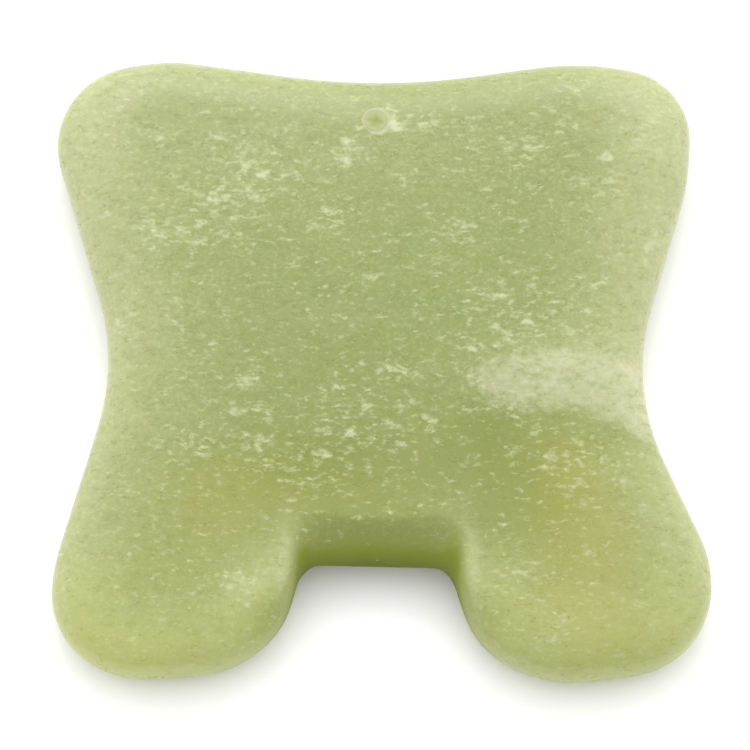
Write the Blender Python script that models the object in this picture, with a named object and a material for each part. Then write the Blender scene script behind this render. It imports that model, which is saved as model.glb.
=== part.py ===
"""A four-cornered gua sha massage board, carved from one slab of green jade, with a filled cord hole.

Frame: +Z is up, the board lies flat on z = 0, +X is to the right and +Y runs to the back edge, away from the
finger notch. The origin is on the table under the middle of the board's box.
"""

import math

import bpy
import numpy as np
from mathutils import Vector

MM = 0.001

# The slab, and the way its faces roll over into the edge: a superellipse in section.
THICKNESS = 7.0 * MM
EDGE_WIDTH = 6.0 * MM  # how far in from the rim the faces start to fall away
EDGE_POWER = 2.6  # 2 is a plain ellipse, more is squarer
EDGE_STEPS = 8  # strips from the rim to each flat face

# Beside the notch the edge is tighter, and the notch's back wall is nearly a plain slope.
NOTCH_CENTRE_Y = -22.5 * MM
NOTCH_REACH = (9.5 * MM, 8.0 * MM)
NOTCH_TIGHTER_BY = 4.6 * MM
SLOPE_HALF_LENGTH = 6.4 * MM
SLOPE_WIDER_BY = 2.2 * MM
SLOPE_POWER = 1.4

# The outline: the corners of a polygon seen from above, each with the radius that rounds it, in millimetres.
# It runs clockwise from the back left corner. The board is ground by hand, so its halves differ a little.
# The polygon is centred on the origin afterwards, by the box of the rounded outline.
CORNERS = {
    "back_left": (-32.1, 28.2, 7.9),
    "back_left_shoulder": (-19.2, 30.1, 12.7),
    "back_hollow": (0.3, 27.2, 60.0),
    "back_right_shoulder": (19.2, 30.0, 24.9),
    "back_right": (29.8, 28.0, 6.8),
    "right_flank": (29.0, 17.6, 23.5),
    "right_waist": (22.95, -2.4, 22.3),
    "right_hip": (29.85, -18.3, 9.2),
    "right_toe_outside": (30.65, -28.4, 8.2),
    "right_toe": (15.5, -30.3, 11.2),
    "right_toe_inside": (8.9, -27.05, 8.0),
    "notch_right": (6.6, -19.5, 1.8),
    "notch_left": (-6.7, -19.2, 1.8),
    "left_toe_inside": (-8.05, -24.5, 8.9),
    "left_toe": (-12.0, -29.1, 9.5),
    "left_toe_middle": (-23.2, -29.85, 9.0),
    "left_toe_outside": (-29.5, -25.5, 7.5),
    "left_hip": (-28.85, -19.1, 10.7),
    "left_waist": (-23.6, 0.0, 22.9),
}
MOST_TURN = math.radians(6)  # between two neighbouring points on an arc
LONGEST_SIDE = 1.2 * MM  # on an arc
LONGEST_RUN = 3.0 * MM  # on a straight

# The cord hole on the centre line, and the resin plug that fills it flush with both faces.
HOLE_X = -0.2 * MM
HOLE_Y = 22.9 * MM
HOLE_RADIUS = 1.10 * MM
PLUG_GAP = 0.05 * MM
ROUND_SIDES = 24
CUTTER_OVERSHOOT = 2.0 * MM

SMOOTH_UP_TO = math.radians(40)
JADE_GREEN = (0.42, 0.48, 0.20, 1.0)
JADE_ROUGHNESS = 0.35
PLUG_GREEN = (0.46, 0.50, 0.18, 1.0)
PLUG_ROUGHNESS = 0.40


def clear_scene():
    for obj in list(bpy.data.objects):
        bpy.data.objects.remove(obj)


def material(name, colour, roughness):
    made = bpy.data.materials.new(name)
    made.use_nodes = True
    shader = made.node_tree.nodes["Principled BSDF"]
    shader.inputs["Base Color"].default_value = colour
    shader.inputs["Roughness"].default_value = roughness
    shader.inputs["Metallic"].default_value = 0.0
    return made


def rounded_corner(before, corner, after, radius):
    """The points and outward normals of the arc that rounds one corner of a clockwise polygon."""
    to_before = (before - corner).normalized()
    to_after = (after - corner).normalized()
    half_angle = to_before.angle(to_after) / 2
    tangent = radius / math.tan(half_angle)
    centre = corner + (to_before + to_after).normalized() * radius / math.sin(half_angle)
    turn = math.pi - 2 * half_angle
    spoke = corner + to_before * tangent - centre
    sticks_out = to_before.cross(to_after) > 0
    steps = max(2, math.ceil(max(turn / MOST_TURN, turn * radius / LONGEST_SIDE)))
    points, normals = [], []
    for step in range(steps + 1):
        angle = (-turn if sticks_out else turn) * step / steps
        cosine, sine = math.cos(angle), math.sin(angle)
        arm = Vector((spoke.x * cosine - spoke.y * sine, spoke.x * sine + spoke.y * cosine))
        points.append(centre + arm)
        normals.append(arm.normalized() * (1 if sticks_out else -1))
    return points, normals


def outline():
    """Points round the rim seen from above and their outward normals, centred on the outline's own box."""
    polygon = [Vector((x, y)) * MM for x, y, _ in CORNERS.values()]
    radii = [radius * MM for _, _, radius in CORNERS.values()]
    arcs = []
    for i, corner in enumerate(polygon):
        after = polygon[(i + 1) % len(polygon)]
        arcs.append(rounded_corner(polygon[i - 1], corner, after, radii[i]))
    points, normals = [], []
    for i, (arc_points, arc_normals) in enumerate(arcs):
        points += arc_points
        normals += arc_normals
        start, end = arc_points[-1], arcs[(i + 1) % len(arcs)][0][0]
        runs = math.ceil((end - start).length / LONGEST_RUN)
        for run in range(1, runs):
            points.append(start.lerp(end, run / runs))
            normals.append(arc_normals[-1])
    points = np.array(points)
    middle = (points.min(axis=0) + points.max(axis=0)) / 2
    return points - middle, np.array(normals)


def edge_shape(rim):
    """The width and the superellipse power of the edge's section at each point of the rim."""
    x, y = rim[:, 0], rim[:, 1]
    away = (x / NOTCH_REACH[0]) ** 2 + ((y - NOTCH_CENTRE_Y) / NOTCH_REACH[1]) ** 2
    sloped = np.where(y < 0, np.exp(-(x / SLOPE_HALF_LENGTH) ** 16), 0)
    width = EDGE_WIDTH - NOTCH_TIGHTER_BY * np.exp(-away ** 3) + SLOPE_WIDER_BY * sloped
    return width, EDGE_POWER + (SLOPE_POWER - EDGE_POWER) * sloped


def edge_ring(rim, normals, step):
    """The points of one ring of the edge, 0 at the rim, and half the slab's thickness at each."""
    width, power = edge_shape(rim)
    # Steps are closer together near the rim, where the section bends most.
    inward = (step / EDGE_STEPS) ** 2
    half = THICKNESS / 2 * (1 - (1 - inward) ** power) ** (1 / power)
    return rim - normals * (inward * width)[:, None], half


def slab_mesh():
    """The board before drilling: rings of points from the underside's face, round the rim, to the top face."""
    rim, normals = outline()
    levels = [(step, -1) for step in reversed(range(EDGE_STEPS + 1))]
    levels += [(step, 1) for step in range(1, EDGE_STEPS + 1)]
    count = len(rim)
    vertices = []
    for step, side in levels:
        ring, half = edge_ring(rim, normals, step)
        vertices += [(x, y, THICKNESS / 2 + side * height) for (x, y), height in zip(ring, half)]
    faces = [list(range(count))]  # a clockwise ring faces down
    for level in range(len(levels) - 1):
        low, high = level * count, (level + 1) * count
        for i in range(count):
            j = (i + 1) % count
            faces.append((low + i, high + i, high + j, low + j))
    top = (len(levels) - 1) * count
    faces.append([top + i for i in reversed(range(count))])
    mesh = bpy.data.meshes.new("slab")
    mesh.from_pydata(vertices, [], faces)
    mesh.validate()
    mesh.shade_smooth()
    mesh.set_sharp_from_angle(angle=SMOOTH_UP_TO)
    return mesh


def slab(name):
    obj = bpy.data.objects.new(name, slab_mesh())
    bpy.context.scene.collection.objects.link(obj)
    return obj


def rod_in_hole(name, radius):
    """A closed upright rod on the cord hole's axis that stands out of both faces."""
    length = THICKNESS + 2 * CUTTER_OVERSHOOT
    middle = (HOLE_X, HOLE_Y, THICKNESS / 2)
    bpy.ops.mesh.primitive_cylinder_add(vertices=ROUND_SIDES, radius=radius, depth=length, location=middle)
    obj = bpy.context.active_object
    obj.name = name
    return obj


def as_helper(obj):
    obj.hide_render = True
    obj.display_type = "WIRE"
    return obj


def boolean(obj, operation, other):
    modifier = obj.modifiers.new(operation.lower(), "BOOLEAN")
    modifier.operation = operation
    modifier.object = as_helper(other)


def jade_board():
    """The stone itself, with the cord hole drilled through it."""
    board = slab("jade_board")
    board.data.materials.append(material("jade", JADE_GREEN, JADE_ROUGHNESS))
    boolean(board, "DIFFERENCE", rod_in_hole("drill", HOLE_RADIUS))


def cord_hole_plug():
    """The filling: a rod in the hole, trimmed to the board's two faces, which slope a little there."""
    plug = rod_in_hole("cord_hole_plug", HOLE_RADIUS - PLUG_GAP)
    plug.data.materials.append(material("plug_resin", PLUG_GREEN, PLUG_ROUGHNESS))
    plug.data.shade_smooth()
    plug.data.set_sharp_from_angle(angle=SMOOTH_UP_TO)
    boolean(plug, "INTERSECT", slab("slab_blank"))


clear_scene()
jade_board()
cord_hole_plug()
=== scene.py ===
"""The looks of a jade gua sha board: white-flecked green stone with a cord hole that is filled with resin.

Everything is in metres in the CAD model's frame: the board lies flat on z = 0, +X is to the right and +Y runs
from the finger notch to the back edge. The tables of zones are in millimetres.
"""

import math

import bmesh
import bpy
import numpy as np
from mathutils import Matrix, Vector, noise
from mathutils.geometry import delaunay_2d_cdt


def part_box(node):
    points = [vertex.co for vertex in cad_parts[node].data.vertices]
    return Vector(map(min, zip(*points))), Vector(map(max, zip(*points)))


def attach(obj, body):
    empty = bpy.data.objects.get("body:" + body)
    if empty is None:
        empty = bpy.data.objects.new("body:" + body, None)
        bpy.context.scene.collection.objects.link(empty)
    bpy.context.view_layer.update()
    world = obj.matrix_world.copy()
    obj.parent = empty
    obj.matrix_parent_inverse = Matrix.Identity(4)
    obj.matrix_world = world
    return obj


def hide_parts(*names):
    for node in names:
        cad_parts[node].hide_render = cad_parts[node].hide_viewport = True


MM = 0.001

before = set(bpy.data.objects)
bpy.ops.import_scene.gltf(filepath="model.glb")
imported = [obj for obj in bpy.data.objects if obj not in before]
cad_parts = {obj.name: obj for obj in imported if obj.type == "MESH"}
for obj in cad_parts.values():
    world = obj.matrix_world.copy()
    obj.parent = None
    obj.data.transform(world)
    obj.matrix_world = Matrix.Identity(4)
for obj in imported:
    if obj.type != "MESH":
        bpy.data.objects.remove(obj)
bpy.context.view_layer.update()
board_low, board_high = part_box("jade_board")
hole_low, hole_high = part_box("cord_hole_plug")

HALF = (board_high.z - board_low.z) / 2
MIDDLE = board_low.z + HALF
HOLE = (hole_low + hole_high) / 2
CAD_PLUG_GAP = 0.05 * MM  # how far the CAD model's plug stands off the stone
HOLE_RADIUS = (hole_high.x - hole_low.x) / 2 + CAD_PLUG_GAP

# --------------------------------------------------------------------------------------- the stone's shape
# Section of the edge, as in the CAD model: a superellipse, tighter beside the notch, whose back wall slopes.
EDGE_WIDTH = 6.0 * MM
EDGE_POWER = 2.6
NOTCH_CENTRE_Y = -22.5 * MM
NOTCH_REACH = (9.5 * MM, 8.0 * MM)
NOTCH_TIGHTER_BY = 4.6 * MM
SLOPE_HALF_LENGTH = 6.4 * MM
SLOPE_WIDER_BY = 2.2 * MM
SLOPE_POWER = 1.4

# The mesh: rings that follow the rim in a narrow band, and triangles inside it.
BAND = 2.0 * MM
BAND_RINGS = 12
RIM_STEP = 0.4 * MM  # between points along the rim
RIM_DETAIL = RIM_STEP / 12  # between points of the rim that the faces' heights are measured from
RIM_SMOOTHING = 0.5 * MM  # the Gaussian width that rounds the CAD rim's facets off
FACE_STEP = 0.45 * MM  # between points on the faces
FINE_STEP = 0.22 * MM  # and round the notch, where they bend most
NOTCH_BOX = ((-11 * MM, -22 * MM), (11 * MM, -13 * MM))
SAME_PLACE_MM = 1e-5  # how close the triangulation's points may be

# Rings round the cord hole's mouth, as distances from its wall in millimetres, where the stone is chipped.
MOUTH_RINGS = [0.0, 0.04, 0.09, 0.15, 0.22, 0.31, 0.42, 0.56, 0.74, 0.98]
MOUTH_SIDES = 96
CHIP_REACH = 0.50 * MM
CHIP_DEPTH = 0.02 * MM
WORST_CHIP = math.radians(-20)  # the direction of the deepest chip, from +X
BRUISE = 0.30 * MM  # how far the stone is paler round the hole, at least
BRUISE_MORE = 0.60 * MM  # and how much further beside the deepest chip

UNDULATION = 0.05 * MM  # how far the hand-ground faces dip
UNDULATION_LENGTH = 11 * MM


def rim_of(node):
    """The CAD board's outline at half its thickness, anticlockwise from the point furthest along +X."""
    mesh = bmesh.new()
    mesh.from_mesh(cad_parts[node].data)
    bmesh.ops.remove_doubles(mesh, verts=mesh.verts, dist=0.001 * MM)
    level = {vertex for vertex in mesh.verts if abs(vertex.co.z - MIDDLE) < 0.01 * MM}
    first = max(level, key=lambda vertex: vertex.co.x)
    loop, before, here = [first], None, first
    while True:
        beside = [edge.other_vert(here) for edge in here.link_edges]
        beside = [vertex for vertex in beside if vertex in level and vertex is not before]
        following = beside[0] if before else max(beside, key=lambda vertex: vertex.co.y)
        if following is first:
            break
        loop.append(following)
        before, here = here, following
    points = np.array([vertex.co.to_2d() for vertex in loop])
    mesh.free()
    return points


def even_steps(points, step):
    """A closed loop sampled at even steps of about that length, its facets smoothed to a curve."""
    closed = np.vstack([points, points[:1]])
    along = np.concatenate([[0], np.cumsum(np.linalg.norm(np.diff(closed, axis=0), axis=1))])
    count = round(along[-1] / step)
    wanted = np.arange(count) * along[-1] / count
    loop = np.interp(wanted, along, closed[:, 0]) + 1j * np.interp(wanted, along, closed[:, 1])
    waves = np.fft.fftfreq(count, along[-1] / count)
    soft = np.exp(-2 * (np.pi * waves * RIM_SMOOTHING) ** 2)
    loop = np.fft.ifft(np.fft.fft(loop) * soft)
    return np.stack([loop.real, loop.imag], axis=1)


def outward(points):
    """Outward unit normals of an anticlockwise closed loop."""
    tangent = np.roll(points, -1, axis=0) - np.roll(points, 1, axis=0)
    tangent /= np.linalg.norm(tangent, axis=1)[:, None]
    return np.stack([tangent[:, 1], -tangent[:, 0]], axis=1)


def half_thickness(inward, rim):
    """Half the board's thickness at points that lie that far in from those points of the rim."""
    x, y = rim[:, 0], rim[:, 1]
    away = (x / NOTCH_REACH[0]) ** 2 + ((y - NOTCH_CENTRE_Y) / NOTCH_REACH[1]) ** 2
    sloped = np.where(y < 0, np.exp(-(x / SLOPE_HALF_LENGTH) ** 16), 0)
    width = EDGE_WIDTH - NOTCH_TIGHTER_BY * np.exp(-away ** 3) + SLOPE_WIDER_BY * sloped
    power = EDGE_POWER + (SLOPE_POWER - EDGE_POWER) * sloped
    share = np.clip(inward / width, 0, 1)
    return HALF * (1 - (1 - share) ** power) ** (1 / power)


def inside(points, loop):
    """Which points lie inside a closed loop, by the even-odd rule."""
    result = np.zeros(len(points), bool)
    for start, end in zip(loop, np.roll(loop, -1, axis=0)):
        crosses = (start[1] > points[:, 1]) != (end[1] > points[:, 1])
        rise = end[1] - start[1] if end[1] != start[1] else 1.0
        reach = start[0] + (points[:, 1] - start[1]) * (end[0] - start[0]) / rise
        result ^= crosses & (points[:, 0] < reach)
    return result


def nearest(points, loop):
    """The point of a loop that is nearest to each point, and how far away it is."""
    found = np.array([loop[np.argmin(np.hypot(*(loop - point).T))] for point in points])
    return found, np.linalg.norm(found - points, axis=1)


def from_hole(points):
    """How far each point lies outside the cord hole's wall."""
    return np.hypot(points[:, 0] - HOLE.x, points[:, 1] - HOLE.y) - HOLE_RADIUS


def mouth_ring(distance):
    angles = np.arange(MOUTH_SIDES) * math.tau / MOUTH_SIDES
    radius = HOLE_RADIUS + distance
    return np.stack([HOLE.x + radius * np.cos(angles), HOLE.y + radius * np.sin(angles)], axis=1)


def staggered(low, high, step):
    """Points in a box, in rows that are shifted by half a step in turn."""
    grid = []
    for i, y in enumerate(np.arange(low[1], high[1], step * math.sqrt(3) / 2)):
        grid += [(x, y) for x in np.arange(low[0] + (i % 2) * step / 2, high[0], step)]
    return np.array(grid)


def face_plan(loop):
    """A face inside the innermost ring, from above: its points, the ring's first, and its triangles."""
    coarse = staggered(loop.min(axis=0), loop.max(axis=0), FACE_STEP)
    at_notch = np.all((coarse > NOTCH_BOX[0]) & (coarse < NOTCH_BOX[1]), axis=1)
    grid = np.vstack([coarse[~at_notch], staggered(*NOTCH_BOX, FINE_STEP)])
    grid = grid[inside(grid, loop)]
    clear_of_hole = from_hole(grid) > MOUTH_RINGS[-1] * MM + 0.3 * FACE_STEP
    _, clearance = nearest(grid, loop)
    grid = grid[(clearance > 0.5 * FACE_STEP) & clear_of_hole]
    rings = [mouth_ring(distance * MM) for distance in MOUTH_RINGS]
    points = np.vstack([loop, *rings, grid])
    count = len(loop)
    edges = [(i, (i + 1) % count) for i in range(count)]
    plan = [Vector(point) / MM for point in points]
    inside_edges = 1
    made = delaunay_2d_cdt(plan, edges, [], inside_edges, SAME_PLACE_MM)
    faces, origins = made[2], made[3]
    triangles = [[origins[i][0] for i in face] for face in faces]
    wall = set(range(count, count + MOUTH_SIDES))
    return points, [face for face in triangles if not set(face) <= wall]


def smooth_noise(point, length, seed):
    """Perlin noise from -1 to 1 at a point, with features about that long."""
    return noise.noise(Vector(point) / length + Vector((seed, seed * 1.7, seed * 0.6)))


def chipping(x, y, z):
    """How deep the stone is chipped there, beside the cord hole's mouth."""
    away = math.hypot(x - HOLE.x, y - HOLE.y) - HOLE_RADIUS
    angle = math.atan2(y - HOLE.y, x - HOLE.x)
    ragged = 0.55 + 0.75 * smooth_noise((2.2 * math.cos(angle), 2.2 * math.sin(angle), z / MM), 1.0, 3)
    worst = math.exp(-(math.remainder(angle - WORST_CHIP, math.tau) / 0.9) ** 2)
    reach = CHIP_REACH * max(0.15, min(1.6, ragged + 0.5 * worst))
    return CHIP_DEPTH * max(0.0, 1 - away / reach) * (0.4 + 0.6 * worst)


def ground(x, y, z):
    """A point of the stone or of its filling after hand grinding, which only ever moves it inwards."""
    dip = UNDULATION * (0.5 + 0.5 * smooth_noise((x, y, z), UNDULATION_LENGTH, 11))
    return x, y, z - dip * (z - MIDDLE) / HALF


def weathered(x, y, z):
    """A point of the stone after grinding and chipping."""
    x, y, z = ground(x, y, z)
    return x, y, z - math.copysign(chipping(x, y, z), z - MIDDLE)


def board_mesh():
    """The board with its cord hole, and each vertex's distance in from the rim."""
    outline = rim_of("jade_board")
    rim = even_steps(outline, RIM_STEP)
    normals = outward(rim)
    count = len(rim)
    insets = [BAND * (step / BAND_RINGS) ** 2 for step in range(BAND_RINGS + 1)]
    vertices, faces, inward = [], [], []
    # Rings from the underside's innermost one, round the rim, to the top's innermost one.
    rings = [(inset, -1) for inset in reversed(insets)] + [(inset, 1) for inset in insets[1:]]
    for inset, side in rings:
        heights = MIDDLE + side * half_thickness(inset, rim)
        vertices += [(x, y, z) for (x, y), z in zip(rim - normals * inset, heights)]
        inward += [inset] * count
    for level in range(len(rings) - 1):
        low, high = level * count, (level + 1) * count
        for i in range(count):
            j = (i + 1) % count
            faces.append((low + i, low + j, high + j, high + i))
    # The two faces share one plan.
    plan, triangles = face_plan(rim - normals * BAND)
    face_rim, face_inward = nearest(plan[count:], even_steps(outline, RIM_DETAIL))
    face_half = half_thickness(face_inward, face_rim)
    mouths = []
    for side, ring_start in ((-1, 0), (1, (len(rings) - 1) * count)):
        start = len(vertices)
        index = [ring_start + i if i < count else start + i - count for i in range(len(plan))]
        vertices += [(x, y, MIDDLE + side * half) for (x, y), half in zip(plan[count:], face_half)]
        inward += list(face_inward)
        faces += [[index[i] for i in (face if side > 0 else reversed(face))] for face in triangles]
        mouths.append(index[count:count + MOUTH_SIDES])
    below, above = mouths
    for i in range(MOUTH_SIDES):
        j = (i + 1) % MOUTH_SIDES
        faces.append((below[i], above[i], above[j], below[j]))
    mesh = bpy.data.meshes.new("jade_stone")
    mesh.from_pydata([weathered(*vertex) for vertex in vertices], [], faces)
    mesh.validate()
    return mesh, np.array(inward)


# --------------------------------------------------------------------------------------- zones in the stone
# Each zone is a soft ellipse seen from above: x, y, half length, half width, turn in degrees, strength.

# Where the stone is milkier than elsewhere, or less milky, and where light and shade are painted on its rims
# and beside the notch.
PALE_ZONES = [
    (-14, 18, 12, 7, 0, 0.06),  # round the back left flecks
    (4, 28, 20, 5, 0, -0.15),  # the back rim, painted shade against the light from behind
    (-25, 24, 5, 5, 0, 0.10),  # the back corners, painted light on the rim
    (25, 24, 5, 5, 0, 0.14),
    (26, 12, 5, 12, 0, 0.11),  # the right side, painted light on the rim
    (-25, 5, 3, 12, 0, 0.05),  # the left side, painted light on the rim
    (-4, 3.5, 7, 2, 0, 0.06),  # a faint band across the middle
    (18, -0.3, 7, 2.2, -4, 0.12),  # the soft side of the healed patch
    (-27, 18, 3, 7, 0, 0.10),
    (13, -15, 5, 4, 0, -0.03),  # the band from hip to hip
    (13, -8.5, 4, 3, 0, -0.07),
    (-6, -12, 5, 3, 0, -0.10),
    (0, -13, 15, 4, 0, -0.04),
    (23, -7.5, 6, 3.2, 0, -0.12),
    (-21, 4, 3, 4, 0, 0.05),  # the left waist
    (-11, -22, 2, 4, -35, 0.10),  # the inner sides of the legs
    (-8.5, -26, 3.5, 4, 0, -0.22),
    (8.5, -25, 3, 4, 0, -0.12),
    (-20, -29, 10, 3, 0, -0.06),  # the legs' front rims, painted shade where they face away from the light
    (20, -29, 10, 3, 0, -0.10),
    (0, -18, 9, 3, 0, -0.18),  # the notch's rim, painted shade where the board turns down into the notch
    (-8.2, -19.5, 0.7, 3.5, 0, 0.16),  # painted highlights on the arrises beside the notch
    (8.4, -19.5, 0.7, 3.5, 5, 0.16),
]
# Where the green is deeper, and, behind and beside the notch, painted shade.
DEEP_ZONES = [
    (0, -14, 12, 4, 0, 0.75),  # behind and beside the notch: painted shade that leads into the notch
    (0, -15.4, 8, 1.0, 0, 0.65),
    (10, -17, 4, 4, 0, 0.4),
    (-10, -17, 3, 3, 0, 0.4),
    (4, -9, 13, 4, 0, 1.0),  # the middle of the board
    (-6, -10, 12, 3, 0, 0.5),
    (-4, 1, 7, 5, 0, 0.3),
    (8, -8, 3, 3, 0, 0.7),
    (-14, -13, 5, 4, 0, 0.5),  # the left leg
    (-11, -16, 5, 3, 0, 0.5),
    (-20, -24, 4, 3, 0, 0.3),
    (14, -12, 7, 3, 0, 0.8),  # the right leg
    (17, -16, 6, 4, 0, 0.8),
    (18, -24, 5, 3, 0, 0.5),
    (10, 15, 9, 7, 0, -0.2),  # lighter at the back right
]
# Where it turns to olive.
WARM_ZONES = [
    (18, -18, 6, 8, 0, 0.80),  # the right leg
    (20, -25, 7, 4, 0, 0.35),
    (17, -11, 5, 3, 0, 0.30),
    (-15, -15, 7, 5, 0, 0.45),  # the left leg
    (-18, -22, 8, 5, 0, 0.30),
    (-6, -13, 8, 3, 0, 0.35),
    (0, -20, 7, 2, 0, 0.50),  # the notch's back wall: an olive tint of its painted shade
]
# The legs' thin front edges, which the light comes through.
GLOW_ZONES = [
    (-21, -29, 10, 3.5, 0, 0.38), (20, -29, 10, 3.5, 0, 0.24), (-27, -25, 4, 5, 0, 0.20),
    (27, -25, 4, 4, 0, 0.14), (-11, -25, 3, 4, 0, 0.16), (11, -25, 3, 4, 0, 0.12),
]
# Painted shade: the notch's wall, below its rim, and its two inner corners are painted a dark green, darkest
# low down on the wall.
NOTCH_ZONES = [
    (0, -20.5, 9.0, 5.0, 0, 3.0),
]
CORNER_ZONES = [
    (-6.7, -19.2, 0.8, 1.7, 0, 0.8),
    (6.9, -19.3, 0.8, 2.0, 0, 1.0),
]
NOTCH_SHADE_STARTS = 0.92 * HALF  # above the board's middle
NOTCH_SHADE_REACH = 5.0 * MM  # in from the rim
# Where white flecks gather.
FLECK_ZONES = [
    (-12.2, 17.1, 4.8, 3.5, 0, 0.66), (-4.0, 13.2, 2.2, 1.2, 0, 0.8), (-3.0, 19.6, 1.8, 1.5, 0, 0.8),
    (3.5, 22.6, 3.5, 1.3, 0, 0.6), (-17.0, 11.6, 3.5, 2.0, 0, 0.7), (-16.0, 18.0, 11.0, 8.0, 0, 0.15),
    (12.2, 19.9, 4.2, 2.4, 0, 0.6), (20.2, 16.5, 2.4, 1.1, 0, 0.9), (18.8, 26.6, 2.4, 0.9, 0, 0.7),
    (24.8, 22.2, 2.0, 3.0, 0, 0.65), (7.5, 11.6, 2.0, 1.8, 0, 0.7), (12.2, 4.5, 4.8, 2.2, 0, 0.8),
    (8.9, 0.8, 1.4, 1.0, 0, 0.7), (2.0, -1.8, 3.2, 0.7, 0, 0.9), (-0.7, -6.6, 6.0, 3.6, 0, 0.65),
    (-16.3, -9.0, 2.8, 1.4, 0, 0.9), (-7.9, -10.3, 4.0, 1.5, 0, 0.55), (-5.6, -12.8, 2.0, 0.9, 0, 0.8),
    (17.6, -10.8, 4.5, 3.0, 0, 0.6), (-18.5, 3.8, 2.0, 1.8, 0, 0.5), (-12.9, -22.0, 3.4, 1.6, -35, 0.7),
    (-22.1, -28.0, 1.4, 1.0, 0, 0.7), (13.0, -20.9, 1.6, 1.0, 0, 0.7), (15.6, -27.0, 1.8, 2.0, 0, 0.6),
    (-24.0, 21.6, 1.4, 1.0, 0, 0.8), (12.5, 1.2, 3.5, 1.0, 8, 0.7), (19.5, 1.4, 5.0, 1.2, 0, 0.5),
    # Small ones towards the left side.
    (-23.5, 25.5, 1.4, 0.9, 0, 0.8), (-20.3, 21.4, 1.2, 0.7, 0, 0.7), (-27.2, 19.6, 1.2, 0.8, 0, 0.8),
    (-14.7, 14.8, 1.3, 1.0, 0, 0.8), (-25.3, 13.4, 1.6, 0.8, 10, 0.9), (-20.9, 12.4, 1.0, 1.4, 0, 0.7),
    (-23.3, 2.8, 1.0, 1.4, 0, 1.0), (-17.6, -2.4, 1.3, 0.8, 20, 0.7), (-11.6, -2.4, 1.6, 0.8, 0, 0.8),
    (-11.6, -5.8, 2.0, 1.4, 0, 0.8), (-10.8, -9.4, 1.2, 1.6, 0, 0.8), (-20.0, -8.5, 1.4, 0.5, 0, 0.7),
    # Small ones towards the right side.
    (16.2, 23.9, 1.0, 0.7, 0, 0.7), (17.3, 22.1, 1.4, 0.5, 0, 0.6), (21.3, 19.4, 1.2, 0.6, 0, 0.8),
    (25.3, 10.9, 1.0, 1.4, -30, 0.8), (21.0, 9.1, 1.6, 0.6, 0, 0.7), (19.4, 6.9, 2.6, 0.6, 0, 0.7),
    # The bruises round the cord hole.
    (1.8, 22.2, 0.8, 0.4, -20, 1.3), (-1.7, 22.3, 0.7, 0.4, 10, 1.2), (-0.1, 21.6, 0.9, 0.3, 0, 1.0),
    (0.9, 24.2, 0.6, 0.4, 45, 1.1), (1.5, 23.0, 0.3, 0.8, 0, 1.1),
]
# The healed patch that runs in from the right waist to a point.
PATCH_ZONES = [
    (15.6, -2.7, 7.4, 3.1, 2, 1.0),
    (23.0, -4.2, 6.8, 3.6, -25, 1.0),
]
# Painted light: the rims are painted paler, for the light that gets into them from the side.
RIM_PAINTED_LIGHT = 0.32
RIM_LIGHT_REACH = 6.0 * MM


def away_from(points, x, y, length, width, turn):
    """How far each point lies from an ellipse's centre, where 1 is on the ellipse."""
    cosine, sine = math.cos(math.radians(turn)), math.sin(math.radians(turn))
    aside, ahead = points[:, 0] / MM - x, points[:, 1] / MM - y
    return np.hypot((aside * cosine + ahead * sine) / length, (ahead * cosine - aside * sine) / width)


def soft_sum(points, zones):
    """The summed strength of soft zones at each point."""
    return sum(zone[5] * np.exp(-away_from(points, *zone[:5]) ** 2) for zone in zones)


def depth_inside(points, zones):
    """1 in the middle of the nearest zone, 0 on its edge, negative outside."""
    return np.max([1 - away_from(points, *zone[:5]) for zone in zones], axis=0)


def paint_zones(mesh, inward):
    """Stores what the material reads: one number per vertex for each kind of zone."""
    points = np.zeros(len(mesh.vertices) * 3)
    mesh.vertices.foreach_get("co", points)
    points = points.reshape(-1, 3)
    # Painted light: paler towards the rims, fading inwards.
    rim_light = RIM_PAINTED_LIGHT * np.exp(-inward / RIM_LIGHT_REACH)
    # Painted shade on the notch's wall, growing towards its foot, and in its inner corners.
    low_down = np.clip((MIDDLE + NOTCH_SHADE_STARTS - points[:, 2]) / HALF, 0, 1) * (inward < NOTCH_SHADE_REACH)
    notch_shade_mask = low_down * soft_sum(points, NOTCH_ZONES) + soft_sum(points, CORNER_ZONES)
    # The bruised, paler stone round the cord hole reaches further on the side of the deepest chip.
    angle = np.arctan2(points[:, 1] - HOLE.y, points[:, 0] - HOLE.x)
    bruised = BRUISE + BRUISE_MORE * (0.5 + 0.5 * np.cos(angle - WORST_CHIP)) ** 2
    values = {
        "pale": rim_light + soft_sum(points, PALE_ZONES),
        "deep": soft_sum(points, DEEP_ZONES),
        "warm": soft_sum(points, WARM_ZONES),
        "glow": soft_sum(points, GLOW_ZONES),
        "notch_shade": notch_shade_mask,
        "flecking": soft_sum(points, FLECK_ZONES) - np.clip(notch_shade_mask, 0, 1),
        "patch": depth_inside(points, PATCH_ZONES),
        "mouth": np.clip(1 - from_hole(points) / bruised, 0, 1),
    }
    for name, numbers in values.items():
        attribute = mesh.attributes.new(name, "FLOAT", "POINT")
        attribute.data.foreach_set("value", np.asarray(numbers, np.float32))


# ----------------------------------------------------------------------------------------------- materials

class Field:
    """A number or a vector that varies over the surface: a node socket that takes part in sums."""

    def __init__(self, nodes, socket):
        self.nodes, self.socket = nodes, socket

    def __add__(self, other):
        return self.nodes.math("ADD", self, other)

    def __sub__(self, other):
        return self.nodes.math("SUBTRACT", self, other)

    def __mul__(self, other):
        return self.nodes.math("MULTIPLY", self, other)

    def step(self, low, high):
        """0 below low, 1 above high, smooth between."""
        inputs = {"Value": self, "From Min": low, "From Max": high}
        return self.nodes.add("MapRange", inputs, "Result", interpolation_type="SMOOTHSTEP")

    def clamped(self):
        return self.nodes.add("Clamp", {"Value": self}, "Result")


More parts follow.
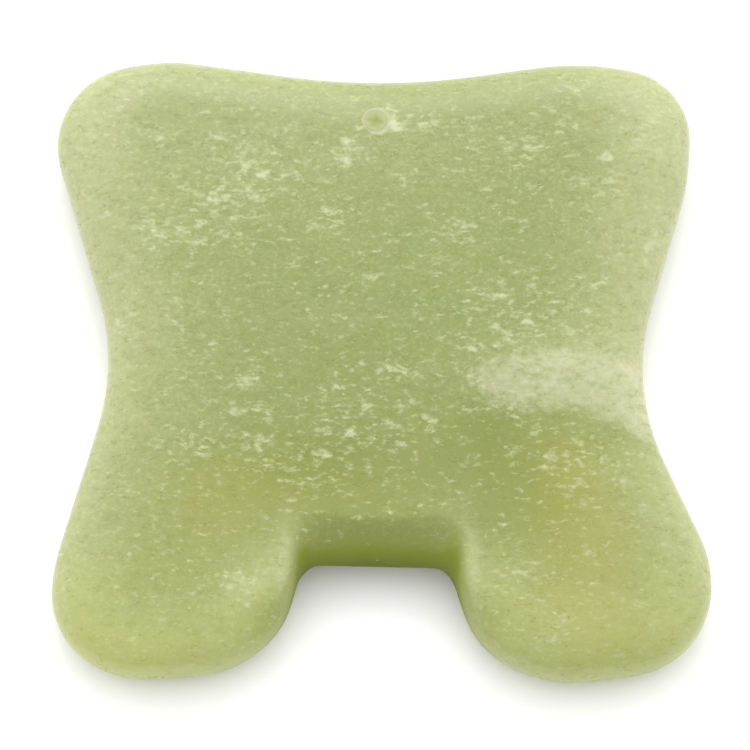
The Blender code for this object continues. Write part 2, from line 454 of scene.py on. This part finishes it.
class Nodes:
    """Short calls for building one material's node tree."""

    def __init__(self, name):
        self.material = bpy.data.materials.new(name)
        self.material.use_nodes = True
        self.tree = self.material.node_tree
        self.shader = self.tree.nodes["Principled BSDF"]

    def feed(self, socket, value):
        if isinstance(value, Field):
            self.tree.links.new(value.socket, socket)
        else:
            socket.default_value = value

    def shade(self, **inputs):
        """Sets the shader's inputs, named with underscores for spaces."""
        for name, value in inputs.items():
            self.feed(self.shader.inputs[name.replace("_", " ")], value)

    def add(self, kind, inputs, output=0, **settings):
        node = self.tree.nodes.new("ShaderNode" + kind)
        for key, value in settings.items():
            setattr(node, key, value)
        for key, value in inputs.items():
            self.feed(node.inputs[key], value)
        return Field(self, node.outputs[output])

    def math(self, operation, first, second):
        return self.add("Math", {0: first, 1: second}, operation=operation)

    def attribute(self, name):
        return self.add("Attribute", {}, "Fac", attribute_name=name)

    def mix(self, amount, first, second):
        return self.add("Mix", {0: amount, 6: first, 7: second}, 2, data_type="RGBA")

    def ramp(self, value, *stops):
        """A colour ramp through (position, colour) stops."""
        made = self.add("ValToRGB", {0: value})
        elements = made.socket.node.color_ramp.elements
        for element, (position, colour) in zip(elements, (stops[0], stops[-1])):
            element.position, element.color = position, colour
        for position, colour in stops[1:-1]:
            elements.new(position).color = colour
        return made

    def noise(self, vector, scale, detail, roughness=0.5, output="Fac"):
        inputs = {"Vector": vector, "Scale": scale, "Detail": detail, "Roughness": roughness}
        return self.add("TexNoise", inputs, output)

    def millimetres(self):
        """The place on the surface, in millimetres in the CAD model's frame."""
        return self.scaled(self.add("TexCoord", {}, "Object"), (1 / MM, 1 / MM, 1 / MM))

    def scaled(self, vector, scale, turn=0.0, shift=0.0):
        inputs = {"Vector": vector, "Scale": scale, "Rotation": (0, 0, math.radians(turn)),
                  "Location": (shift, shift, shift)}
        return self.add("Mapping", inputs)

    def warped(self, vector, scale, reach):
        """The place, pushed about by noise, so that what is drawn from it has ragged outlines."""
        push = self.noise(vector, scale, 3.0, output="Color")
        push = self.add("VectorMath", {0: push, 1: (0.5, 0.5, 0.5)}, operation="SUBTRACT")
        push = self.add("VectorMath", {0: push, 1: (reach, reach, reach)}, operation="MULTIPLY")
        return self.add("VectorMath", {0: vector, 1: push}, operation="ADD")

    def grains(self, vector, size, seed):
        """Voronoi cells of that size: how far the nearest one's centre is, and two random numbers for it."""
        place = self.scaled(vector, [1 / length for length in size], shift=seed)
        distance = self.add("TexVoronoi", {"Vector": place, "Scale": 1.0}, "Distance")
        colour = Field(self, distance.socket.node.outputs["Color"])
        red = self.add("SeparateColor", {0: colour})
        return distance, red, Field(self, red.socket.node.outputs[1])


DEEP_GREEN = (0.168, 0.206, 0.022, 1)
CORE_GREEN = (0.205, 0.247, 0.055, 1)
LIGHT_GREEN = (0.300, 0.345, 0.125, 1)
OLIVE = (0.300, 0.290, 0.025, 1)
GLOW = (0.560, 0.590, 0.130, 1)
# The painted shade of the notch, and darker still at its foot.
NOTCH_SHADE_GREEN = (0.188, 0.220, 0.008, 1)
NOTCH_FOOT_SHADE_GREEN = (0.075, 0.100, 0.001, 1)
# The colour of the stone's milky haze, and of the painted light on its rims and arrises.
HAZE_AND_RIM_LIGHT = (0.660, 0.665, 0.410, 1)
MILK = (0.490, 0.520, 0.300, 1)
CREAM = (0.490, 0.530, 0.230, 1)
PATCH = (0.640, 0.610, 0.460, 1)
CLEAR_RESIN = (0.240, 0.272, 0.050, 1)
CLOUDY_RESIN = (0.350, 0.375, 0.160, 1)


def stone_colour(nodes, place):
    """The green body of the stone: broad clouds, mottling and fine grain, and zones of other greens, with
    painted light on the rims and painted shade in the notch.
    """
    lying = nodes.scaled(place, (0.65, 1.0, 1.0))
    clouds = nodes.noise(lying, 0.16, 3.0, 0.5) - 0.5
    mottle = nodes.math("MAXIMUM", nodes.noise(lying, 1.1, 4.0, 0.65) - 0.5, -0.14)
    grain = nodes.math("MAXIMUM", nodes.noise(place, 2.6, 3.0, 0.7) - 0.5, -0.07)
    tone = clouds * 0.35 + mottle * 0.65 + grain * 1.50 + 0.41 - nodes.attribute("deep") * 0.35
    colour = nodes.ramp(tone, (0.0, DEEP_GREEN), (0.45, CORE_GREEN), (1.0, LIGHT_GREEN))
    warm = nodes.attribute("warm") + clouds * 0.5
    colour = nodes.mix((warm * 0.65).clamped(), colour, OLIVE)
    # pale is partly the stone's milkiness and partly painted light on the rims and arrises, lessened where
    # shade is painted.
    pale = nodes.attribute("pale") * (mottle * 1.3 + grain * 0.8 + 1.0)
    colour = nodes.mix(pale.clamped(), colour, HAZE_AND_RIM_LIGHT)
    colour = nodes.mix(nodes.attribute("glow"), colour, GLOW)
    # Painted shade in the notch, darkest at the foot of its wall.
    notch_shade = nodes.attribute("notch_shade") + mottle * 0.3
    colour = nodes.mix(notch_shade.clamped(), colour, NOTCH_SHADE_GREEN)
    return nodes.mix(((notch_shade - 1.0) * 0.55).clamped(), colour, NOTCH_FOOT_SHADE_GREEN), mottle


def white_flecks(nodes, place):
    """Milky flakes, thin streaks and fine crumbs, all lying along X and thickest in the fleck zones."""
    flecking = nodes.attribute("flecking")
    ragged = nodes.warped(place, 1.3, 0.45)
    flakes = nodes.noise(nodes.scaled(ragged, (0.70, 1.05, 1.05), 5), 1.0, 4.0, 0.56)
    flakes = (flakes + flecking * 0.145).step(0.60, 0.84)
    streaks = nodes.noise(nodes.scaled(ragged, (1.1, 2.2, 2.2), -3, 5.0), 1.0, 3.0, 0.6)
    streaks = (streaks + flecking * 0.10).step(0.56, 0.80)
    distance, chosen, size = nodes.grains(nodes.warped(place, 2.0, 0.7), (0.80, 0.40, 0.40), 9.0)
    crumb = (size * 0.35 - distance + 0.30).step(0.0, 0.60)
    crumbs = crumb * nodes.math("LESS_THAN", chosen, flecking * 0.28 + 0.12)
    return flakes, streaks, crumbs


def jade():
    nodes = Nodes("jade")
    place = nodes.millimetres()
    colour, mottle = stone_colour(nodes, place)
    ragged = (nodes.noise(place, 0.9, 6.0, 0.65) - 0.5) * 1.1
    patched = (nodes.attribute("patch") + ragged * 1.2).step(-0.10, 0.30)
    colour = nodes.mix(patched * (mottle * 0.8 + 0.27), colour, PATCH)
    flakes, streaks, crumbs = white_flecks(nodes, place)
    colour = nodes.mix(flakes * 0.85, colour, MILK)
    colour = nodes.mix(streaks * 0.72, colour, MILK)
    colour = nodes.mix(crumbs * 0.48, colour, CREAM)
    chipped = (nodes.attribute("mouth") + ragged * 1.3).step(0.20, 0.90)
    colour = nodes.mix(chipped * 0.65, colour, MILK)
    white = (flakes + streaks + crumbs + chipped).clamped()
    grain = nodes.noise(place, 5.0, 3.0, 0.6)
    relief = nodes.add("Bump", {"Height": grain, "Strength": 0.08, "Distance": 0.05 * MM})
    # A polishing wheel doesn't reach into the notch, so its wall is the dullest part.
    unpolished = nodes.attribute("notch_shade").clamped() * 0.45
    roughness = mottle * 0.25 + white * 0.12 + unpolished + 0.30
    nodes.shade(Base_Color=colour, Roughness=roughness, Normal=relief, IOR=1.56, Subsurface_Weight=0.5,
                Subsurface_Radius=(1.0, 1.0, 0.50), Subsurface_Scale=1.3 * MM)
    return nodes.material


def resin():
    """Resin tinted like the stone, clearest and darkest in the middle of the hole."""
    nodes = Nodes("plug_resin")
    place = nodes.millimetres()
    cloudy = nodes.noise(place, 2.2, 4.0, 0.6)
    centre = (HOLE.x / MM, HOLE.y / MM, 0)
    from_above = nodes.scaled(place, (1, 1, 0))
    across = nodes.add("VectorMath", {0: from_above, 1: centre}, "Value", operation="DISTANCE")
    outer = (across + cloudy * 1.2).step(0.75, 1.55)
    colour = nodes.mix(outer, CLEAR_RESIN, CLOUDY_RESIN)
    nodes.shade(Base_Color=colour, Roughness=cloudy * 0.2 + 0.30, IOR=1.5,
                Subsurface_Weight=0.4, Subsurface_Radius=(1.0, 1.0, 0.5), Subsurface_Scale=1.0 * MM)
    return nodes.material


# -------------------------------------------------------------------------------------------------- pieces

def finished(name, mesh, material, node):
    """A piece made of that mesh, which stands for a CAD node and rides with it."""
    mesh.materials.append(material)
    mesh.shade_smooth()
    mesh.set_sharp_from_angle(angle=math.radians(50))
    piece = bpy.data.objects.new(name, mesh)
    bpy.context.scene.collection.objects.link(piece)
    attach(piece, "root")
    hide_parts(node)


def jade_stone():
    mesh, inward = board_mesh()
    paint_zones(mesh, inward)
    finished("jade_stone", mesh, jade(), "jade_board")


PLUG_SIDES = 64
PLUG_RINGS = 8
PLUG_CLEARANCE = 0.004 * MM
PLUG_SINKING = 0.004 * MM  # how far the resin stands below the stone at its edge
PLUG_DISH = 0.03 * MM  # and how much further in its middle
PLUG_UNEVENNESS = 0.02 * MM
PLUG_UNEVENNESS_LENGTH = 0.6 * MM


def plug_point(share, angle, side, rim):
    """A point of one of the filling's two ends, that share of the radius out from the middle."""
    radius = (HOLE_RADIUS - PLUG_CLEARANCE) * share
    x = HOLE.x + radius * math.cos(angle)
    y = HOLE.y + radius * math.sin(angle)
    beside, away = nearest([(x, y)], rim)
    uneven = PLUG_UNEVENNESS * smooth_noise((x, y, side), PLUG_UNEVENNESS_LENGTH, 5)
    sunk = PLUG_SINKING + PLUG_DISH * (1 - share ** 2) + uneven
    return ground(x, y, MIDDLE + side * (half_thickness(away, beside)[0] - sunk))


def hole_filling():
    """The resin that fills the cord hole: a rod with a slightly sunken, uneven face at each end."""
    rim = even_steps(rim_of("jade_board"), RIM_STEP)
    mesh = bmesh.new()
    ends = []
    for side in (-1, 1):
        rings = []
        for ring in range(PLUG_RINGS + 1):
            row = []
            for i in range(PLUG_SIDES if ring else 1):
                point = plug_point(ring / PLUG_RINGS, i * math.tau / PLUG_SIDES, side, rim)
                row.append(mesh.verts.new(point))
            rings.append(row)
        for i in range(PLUG_SIDES):
            j = (i + 1) % PLUG_SIDES
            mesh.faces.new((rings[0][0], rings[1][i], rings[1][j])[::side])
            for inner, outer in zip(rings[1:], rings[2:]):
                mesh.faces.new((inner[i], outer[i], outer[j], inner[j])[::side])
        ends.append(rings[-1])
    for i in range(PLUG_SIDES):
        j = (i + 1) % PLUG_SIDES
        mesh.faces.new((ends[0][i], ends[0][j], ends[1][j], ends[1][i]))
    data = bpy.data.meshes.new("hole_filling")
    mesh.to_mesh(data)
    mesh.free()
    finished("hole_filling", data, resin(), "cord_hole_plug")


# ----------------------------------------------------------------------------------- camera, floor and light

CAMERA_ELEVATION = math.radians(70)
CAMERA_DISTANCE = 350 * MM
CAMERA_TARGET = Vector((-0.25, -1.0, 3.5)) * MM
CAMERA_LENS = 183.6
FLOOR_SIZE = 4.0
FLOOR_WHITE = (0.96, 0.96, 0.96, 1)
SKY = 1.42
BEHIND = 0.58  # the share by which the tent is brighter straight behind, and darker straight in front
SOFTBOX_SIZE = 0.4
SOFTBOX_POWER = 0.9
SOFTBOX_PLACE = Vector((0.0, 0.53, 0.53))


def camera():
    data = bpy.data.cameras.new("camera")
    data.sensor_width = 36
    data.lens = CAMERA_LENS
    data.clip_start, data.clip_end = 0.01, 10
    made = bpy.data.objects.new("camera", data)
    bpy.context.scene.collection.objects.link(made)
    back = Vector((0, -math.cos(CAMERA_ELEVATION), math.sin(CAMERA_ELEVATION)))
    made.location = CAMERA_TARGET + back * CAMERA_DISTANCE
    made.rotation_euler = (math.pi / 2 - CAMERA_ELEVATION, 0, 0)
    bpy.context.scene.camera = made


def floor():
    bpy.ops.mesh.primitive_plane_add(size=FLOOR_SIZE, location=(0, 0, board_low.z))
    made = bpy.context.active_object
    made.name = "floor"
    nodes = Nodes("floor")
    matt = nodes.add("BsdfDiffuse", {"Color": FLOOR_WHITE})
    nodes.feed(nodes.tree.nodes["Material Output"].inputs["Surface"], matt)
    made.data.materials.append(nodes.material)


def studio():
    """Soft light: a white tent that is brighter towards the back, and one large softbox above and behind."""
    bpy.context.scene.view_settings.view_transform = "Standard"
    tent()
    softbox()


def tent():
    world = bpy.data.worlds.new("studio")
    world.use_nodes = True
    tree = world.node_tree
    background = tree.nodes["Background"]
    direction = tree.nodes.new("ShaderNodeTexCoord")
    parts = tree.nodes.new("ShaderNodeSeparateXYZ")
    strength = tree.nodes.new("ShaderNodeMath")
    strength.operation = "MULTIPLY_ADD"
    strength.inputs[1].default_value = SKY * BEHIND
    strength.inputs[2].default_value = SKY
    tree.links.new(direction.outputs["Generated"], parts.inputs[0])
    tree.links.new(parts.outputs["Y"], strength.inputs[0])
    tree.links.new(strength.outputs[0], background.inputs["Strength"])
    background.inputs["Color"].default_value = (1.0, 1.0, 1.0, 1)
    bpy.context.scene.world = world


def softbox():
    data = bpy.data.lights.new("softbox", "AREA")
    data.shape = "SQUARE"
    data.size = SOFTBOX_SIZE
    data.energy = SOFTBOX_POWER
    made = bpy.data.objects.new("softbox", data)
    bpy.context.scene.collection.objects.link(made)
    made.location = SOFTBOX_PLACE
    made.rotation_euler = (-SOFTBOX_PLACE).to_track_quat("-Z", "Y").to_euler()


jade_stone()
hole_filling()
camera()
floor()
studio()
